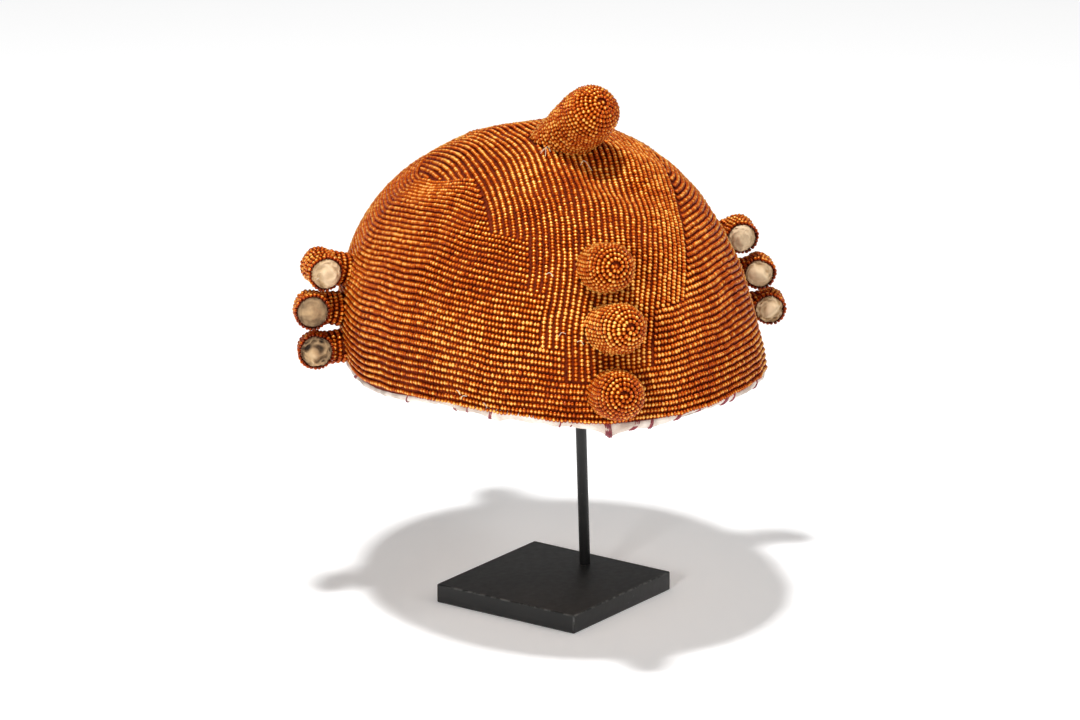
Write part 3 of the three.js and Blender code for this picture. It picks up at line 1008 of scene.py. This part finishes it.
def make_hem():
    """The raw edge of the white cloth, rolled under the lowest beads: a thin ring drawn out all round."""
    clear_selection()
    columns, sides = 900, 10
    bpy.ops.mesh.primitive_torus_add(major_segments=columns, minor_segments=sides, major_radius=1,
                                     minor_radius=0.25)
    hem = newest("hem_cloth")
    ring = np.array([vertex.co[:] for vertex in hem.data.vertices])
    turn = np.arctan2(ring[:, 0], -ring[:, 1])
    out = (np.hypot(ring[:, 0], ring[:, 1]) - 1) / 0.25
    up = ring[:, 2] / 0.25
    depth = hem_depth(turn)
    circle = np.stack([np.sin(turn), np.cos(turn), up * 0.02], axis=-1) * 96
    puff = 0.3 * ripple(circle, 14, 51) + 0.18 * ripple(circle, 4.5, 52)
    low = np.clip(0.5 - 0.5 * up, 0, 1)
    drop = -1.2 + low * (depth + 1.2)
    inset = 2.5 - out * 0.85 - (0.9 + puff) * np.sin(np.pi * np.clip(low, 0, 1)) ** 0.8
    edge = cap_outside(turn, turn * 0)
    outwards = cap_outwards(turn, turn * 0)
    points = edge - outwards * inset[:, None]
    points[:, 2] -= drop
    hem.data.vertices.foreach_set("co", (points * MM).ravel())
    hem.data.update()
    bpy.ops.object.shade_smooth()
    hem.data.materials.append(finish["cotton"])
    place(hem, "cap_lining", slot="white_cotton")
    return hem


# Loose ends on the cap and how far each leans, in degrees of turn
LOOSE_ENDS = table(
    "turn rise lean",
    (-19.8, 0.6, 2.2), (-46.5, 0.07, 1.6), (-43.5, 0.05, -1.4), (-39, 0.03, 1.4), (-14, 0.38, -2.0),
    (-11, 0.35, 1.5), (-38, 0.968, 8.0), (-28, 0.972, -7.0), (0, 0.955, 6.0),
)


def make_loose_threads(frays):
    """Pale thread ends on the cap, at the knob's foot and in the cut ends."""
    strands = [(route, THREAD_RADII["frayed"]) for route in frays]
    for loose_end in LOOSE_ENDS:
        turn, rise, lean = loose_end["turn"], loose_end["rise"], loose_end["lean"]
        start = surface_at(turn, rise, -0.5)
        side = surface_at(turn + lean * 0.6, rise + 0.006, 0.8)
        end = surface_at(turn + lean, rise - 0.012, 0.9)
        strands.append(([start, side, end], THREAD_RADII["loose"]))
    thread_piece("loose_threads", strands, finish["cotton_thread"], "white_cotton", "cap_lining")


# Stand
def make_plate():
    clear_selection()
    side = PLATE["side"] * MM
    thick = PLATE["thickness"] * MM
    turn = math.radians(PLATE["turn"])
    bpy.ops.mesh.primitive_cube_add(size=1, location=(0, 0, thick / 2), rotation=(0, 0, turn))
    plate = newest("base_plate")
    plate.scale = (side, side, thick)
    bpy.ops.object.transform_apply(location=True, rotation=True, scale=True)
    with editing():
        bpy.ops.mesh.bevel(offset=PLATE["edge"] * MM, segments=4, affect="EDGES")
    bpy.ops.object.shade_smooth_by_angle(angle=math.radians(40))
    plate.data.materials.append(finish["plate"])
    place(plate, "stand_base", slot="black_lacquered_steel")


def make_rod():
    clear_selection()
    foot, top = at(ROD["foot"]), at(ROD["top"])
    bpy.ops.mesh.primitive_cylinder_add(vertices=32, radius=ROD["radius"] * MM, depth=(top - foot).length)
    rod = newest("support_rod")
    with editing():
        bpy.ops.mesh.bevel(offset=0.25 * MM, segments=2, affect="EDGES", offset_type="OFFSET")
    rod.data.transform(seated((foot + top) / 2, top - foot))
    bpy.ops.object.shade_smooth_by_angle(angle=math.radians(40))
    rod.data.materials.append(finish["rod"])
    place(rod, "stand_rod", slot="black_lacquered_steel")


# Finishes
def linear(hex_colour):
    """A colour from its sRGB hex value, as Blender mixes it."""
    parts = [int(hex_colour[k:k + 2], 16) / 255 for k in (1, 3, 5)]
    return [p / 12.92 if p <= 0.04045 else ((p + 0.055) / 1.055) ** 2.4 for p in parts] + [1.0]


class Finish:
    """A material in the making: its shader, and the nodes that hang on the piece's own place."""

    def __init__(self, name, constants):
        self.material = bpy.data.materials.new(name)
        self.material.use_nodes = True
        self.tree = self.material.node_tree
        self.shader = self.tree.nodes["Principled BSDF"]
        for socket, value in constants.items():
            self.shader.inputs[socket].default_value = value
        self.place_on = self.node("TexCoord").outputs["Object"]

    def node(self, kind, settings=None, inputs=None):
        """Adds one shader node. An input is a number, a colour or another node's output."""
        node = self.tree.nodes.new("ShaderNode" + kind)
        for name, value in (settings or {}).items():
            setattr(node, name, value)
        for name, value in (inputs or {}).items():
            if isinstance(value, bpy.types.NodeSocket):
                self.tree.links.new(value, node.inputs[name])
            else:
                node.inputs[name].default_value = value
        return node

    def noise(self, size, detail):
        """Blotches of about this size in millimetres."""
        inputs = {"Vector": self.place_on, "Scale": 1 / (size * MM), "Detail": detail}
        return self.node("TexNoise", inputs=inputs).outputs["Fac"]

    def wave(self, direction, pitch, distortion, detail):
        """Stripes this many millimetres apart."""
        inputs = {"Vector": self.place_on, "Scale": 0.31 / (pitch * MM), "Distortion": distortion,
                  "Detail": detail}
        return self.node("TexWave", {"bands_direction": direction}, inputs).outputs["Fac"]

    def painted(self, name):
        """The numbers that a piece keeps under this name."""
        return self.node("Attribute", {"attribute_name": name}).outputs["Fac"]

    def math(self, operation, *values, clamp=False):
        settings = {"operation": operation, "use_clamp": clamp}
        return self.node("Math", settings, dict(enumerate(values))).outputs[0]

    def spread(self, value, low, high, to_low=0.0, to_high=1.0):
        """A value between low and high, stretched to lie between two others."""
        inputs = {"Value": value, 1: low, 2: high, 3: to_low, 4: to_high}
        return self.node("MapRange", inputs=inputs).outputs[0]

    def mix(self, share, below, above, way="MIX"):
        settings = {"data_type": "RGBA", "blend_type": way}
        return self.node("Mix", settings, {0: share, 6: below, 7: above}).outputs[2]

    def ramp(self, value, *stops):
        """Colours by value."""
        node = self.node("ValToRGB", inputs={"Fac": value})
        for number, (position, colour) in enumerate(stops):
            if number > 1:
                node.color_ramp.elements.new(position)
            node.color_ramp.elements[number].position = position
            node.color_ramp.elements[number].color = linear(colour)
        return node.outputs["Color"]

    def relief(self, height, strength, depth):
        """Dents up to this many millimetres deep."""
        inputs = {"Height": height, "Strength": strength, "Distance": depth * MM}
        self.drive("Normal", self.node("Bump", inputs=inputs).outputs["Normal"])

    def drive(self, socket, output):
        self.tree.links.new(output, self.shader.inputs[socket])


def seed_bead_glass():
    """Amber seed bead glass, drawn, cut and tumbled: a warm body and a golden glint from its lined hole,
    with a painted golden highlight on each bead's outer side and painted shade towards its base.
    """
    glass = Finish("amber_seed_bead_glass", {
        "Metallic": 0.3, "Roughness": 0.26, "IOR": 1.52, "Specular Tint": linear("#ffae68"),
        "Coat Weight": 0.12, "Coat Roughness": 0.1
    })
    # each bead is a little lighter or darker than the next, and the work has darker and lighter areas
    tone_part = glass.math("MULTIPLY_ADD", glass.painted("tone"), 0.16, -0.08)
    patch_part = glass.math("MULTIPLY_ADD", glass.noise(38, 2), 0.24, -0.12)
    shifts = glass.math("ADD", tone_part, patch_part)
    # the ramp follows each bead's lift: painted shade near its base, between the rows, and a painted golden
    # highlight on its outer side
    depth = glass.math("ADD", glass.painted("lift"), shifts, clamp=True)
    glass.drive("Base Color", glass.ramp(depth, (0.3, "#340700"), (0.56, "#6c1700"), (0.78, "#ac4002"),
                                         (0.88, "#cb680a"), (0.96, "#ffc060")))
    return glass.material


def thread_backing():
    """Dark waxed thread and cloth between the rows, where light hardly gets in: dull, and red-brown with a
    painted glow of light passing through the amber beads.
    """
    cloth = Finish("dark_waxed_backing", {"Roughness": 0.8, "Specular IOR Level": 0.1})
    weave = cloth.noise(1.2, 3)
    # the lighter orange-brown of the weave is painted glow from light passing through the beads
    cloth.drive("Base Color", cloth.ramp(weave, (0.3, "#3e0d00"), (0.7, "#7e2804")))
    cloth.relief(weave, 0.5, 0.2)
    return cloth.material


def stiffened_cotton(name, light, dark):
    """White cotton cloth, starched: a matt weave of threads 0.5 mm apart, with grey handling marks."""
    cloth = Finish(name, {"Roughness": 0.9, "Sheen Weight": 0.2})
    cloth.drive("Base Color", cloth.ramp(cloth.noise(9, 4), (0.35, dark), (0.6, light)))
    cloth.relief(cloth.wave("DIAGONAL", 0.5, 1.5, 2), 0.4, 0.15)
    return cloth.material


def stuffing_browning_and_shade():
    """Cream cotton that shows in the cut horns: crumpled and browned, with painted shade in its hollows."""
    cloth = Finish("cream_cotton_stuffing", {"Roughness": 0.92})
    marks = cloth.noise(4, 5)
    brown = cloth.math("MULTIPLY_ADD", marks, 0.9, -0.35, clamp=True)
    # stain adds the plug's browning and the painted shade of its hollows to the blotches
    amount = cloth.math("ADD", brown, cloth.painted("stain"), clamp=True)
    cloth.drive("Base Color", cloth.ramp(amount, (0.0, "#e6caa4"), (0.45, "#b6966e"), (0.8, "#70583e"),
                                         (1.0, "#38291c")))
    cloth.relief(marks, 0.6, 0.4)
    return cloth.material


def dyed_thread():
    """Crimson sewing thread, twisted: a soft sheen and a dark core."""
    thread = Finish("crimson_sewing_thread", {"Roughness": 0.6, "Sheen Weight": 0.3})
    thread.drive("Base Color", thread.ramp(thread.noise(0.8, 2), (0.3, "#5a0a14"), (0.7, "#a02338")))
    return thread.material


def satin_black_steel(name, worn_edges):
    """Mild steel under satin black lacquer: almost no colour, a soft shine, grey where edges are rubbed."""
    steel = Finish(name, {"IOR": 1.5})
    grain = steel.noise(2.5, 6)
    specks = steel.node("TexVoronoi", inputs={"Vector": steel.place_on, "Scale": 1 / (7 * MM)})
    speck = steel.ramp(specks.outputs["Distance"], (0.02, "#6f6f6c"), (0.05, "#000000"))
    base = steel.ramp(steel.noise(30, 3), (0.3, "#0f0f0f"), (0.75, "#1b1a19"))
    colour = steel.mix(0.35, base, speck, "ADD")
    if worn_edges:
        colour = rubbed_edges(steel, grain, colour)
    steel.drive("Base Color", colour)
    steel.drive("Roughness", steel.spread(grain, 0, 1, 0.36, 0.56))
    steel.relief(grain, 0.15, 0.1)
    return steel.material


def rubbed_edges(steel, grain, colour):
    """Greyer where the plate's edges are rubbed: the pattern is turned with the plate."""
    turned = steel.node("Mapping", {"vector_type": "TEXTURE"},
                        {"Vector": steel.place_on, "Rotation": (0, 0, math.radians(PLATE["turn"]))})
    parts = steel.node("SeparateXYZ", inputs={0: turned.outputs[0]})
    half, half_thick = PLATE["side"] * MM / 2, PLATE["thickness"] * MM / 2
    masks = []
    for axis, middle, reach in ((0, 0, half), (1, 0, half), (2, half_thick, half_thick)):
        centred = steel.math("SUBTRACT", parts.outputs[axis], middle)
        masks.append(steel.spread(steel.math("ABSOLUTE", centred), reach - 0.9 * MM, reach - 0.1 * MM))
    both = steel.math("ADD", steel.math("ADD", masks[0], masks[1]), masks[2])
    amount = steel.math("MULTIPLY", steel.spread(both, 1.05, 1.7), steel.spread(grain, 0.42, 0.62))
    return steel.mix(amount, colour, linear("#5b5a57"))


def plain_wood():
    """Plain beech, stained dark: a straight fine grain."""
    wood = Finish("dark_stained_beech", {"Roughness": 0.7})
    wood.drive("Base Color", wood.ramp(wood.wave("X", 2.5, 4, 3), (0.2, "#3b3028"), (0.8, "#544638")))
    return wood.material


finish = {
    "beads": seed_bead_glass(),
    "backing": thread_backing(),
    "cotton": stiffened_cotton("starched_white_cotton", "#efe2d6", "#bda899"),
    "cotton_thread": stiffened_cotton("bleached_cotton_thread", "#e8d6bd", "#c9ae8c"),
    "stuffing": stuffing_browning_and_shade(),
    "thread": dyed_thread(),
    "plate": satin_black_steel("satin_black_steel_plate", True),
    "rod": satin_black_steel("satin_black_steel_rod", False),
    "wood": plain_wood(),
}


# Studio
def set_camera():
    turn, tilt = math.radians(VIEW["azimuth"]), math.radians(VIEW["elevation"])
    back = Vector((math.sin(turn) * math.cos(tilt), -math.cos(turn) * math.cos(tilt), math.sin(tilt)))
    right = Vector((math.cos(turn), math.sin(turn), 0))
    aim = right * VIEW["aim_right"] * MM + Vector((0, 0, VIEW["aim_height"] * MM))
    bpy.ops.object.camera_add(location=aim + back * VIEW["distance"] * MM,
                              rotation=back.to_track_quat("Z", "Y").to_euler())
    camera = bpy.context.object
    camera.data.sensor_width = SENSOR
    camera.data.lens = SENSOR * VIEW["distance"] / VIEW["frame_width"]
    camera.data.clip_end = 50
    bpy.context.scene.camera = camera


def softbox(name, size, power, spot):
    """A square soft light that looks at the cap. Its size and place are in millimetres."""
    bpy.ops.object.light_add(type="AREA", location=at(spot))
    light = bpy.context.object
    light.name = name
    light.data.size = size * MM
    light.data.energy = power
    light.rotation_euler = (at(spot) - at(LIGHT_AIM)).to_track_quat("Z", "Y").to_euler()


def make_studio():
    bpy.context.scene.view_settings.view_transform = "Standard"
    clear_selection()
    bpy.ops.mesh.primitive_plane_add(size=14)
    floor = bpy.context.object
    floor.name = "studio_floor"
    white = linear("#ffffff")
    pale = Finish("pale_studio_floor", {
        "Base Color": white, "Roughness": 0.9, "Emission Color": white, "Emission Strength": 0.12
    })
    floor.data.materials.append(pale.material)
    softbox("overhead", 240, 46, (-310, -370, 2200))
    softbox("front_fill", 600, 36, (-1900, -2300, 1100))
    softbox("right_key", 380, 11, (1500, -1500, 1700))
    world = bpy.context.scene.world or bpy.data.worlds.new("studio")
    bpy.context.scene.world = world
    world.use_nodes = True
    world.node_tree.nodes["Background"].inputs["Color"].default_value = (1, 1, 1, 1)
    world.node_tree.nodes["Background"].inputs["Strength"].default_value = 0.24


set_camera()
make_studio()
bead_cap()
make_cloth()
make_knob()
for blunt in BLUNT_HORNS:
    make_blunt_horn(blunt)
loose = []
for elbow, cut_end in zip(SIDE_HORNS, CUT_ENDS):
    make_side_horn(elbow)
    loose += make_stuffing(elbow, cut_end)
make_stitches()
make_loose_threads(loose)
make_plate()
make_rod()
crown_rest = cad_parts["crown_rest"]
crown_rest.data.materials.clear()
crown_rest.data.materials.append(finish["wood"])
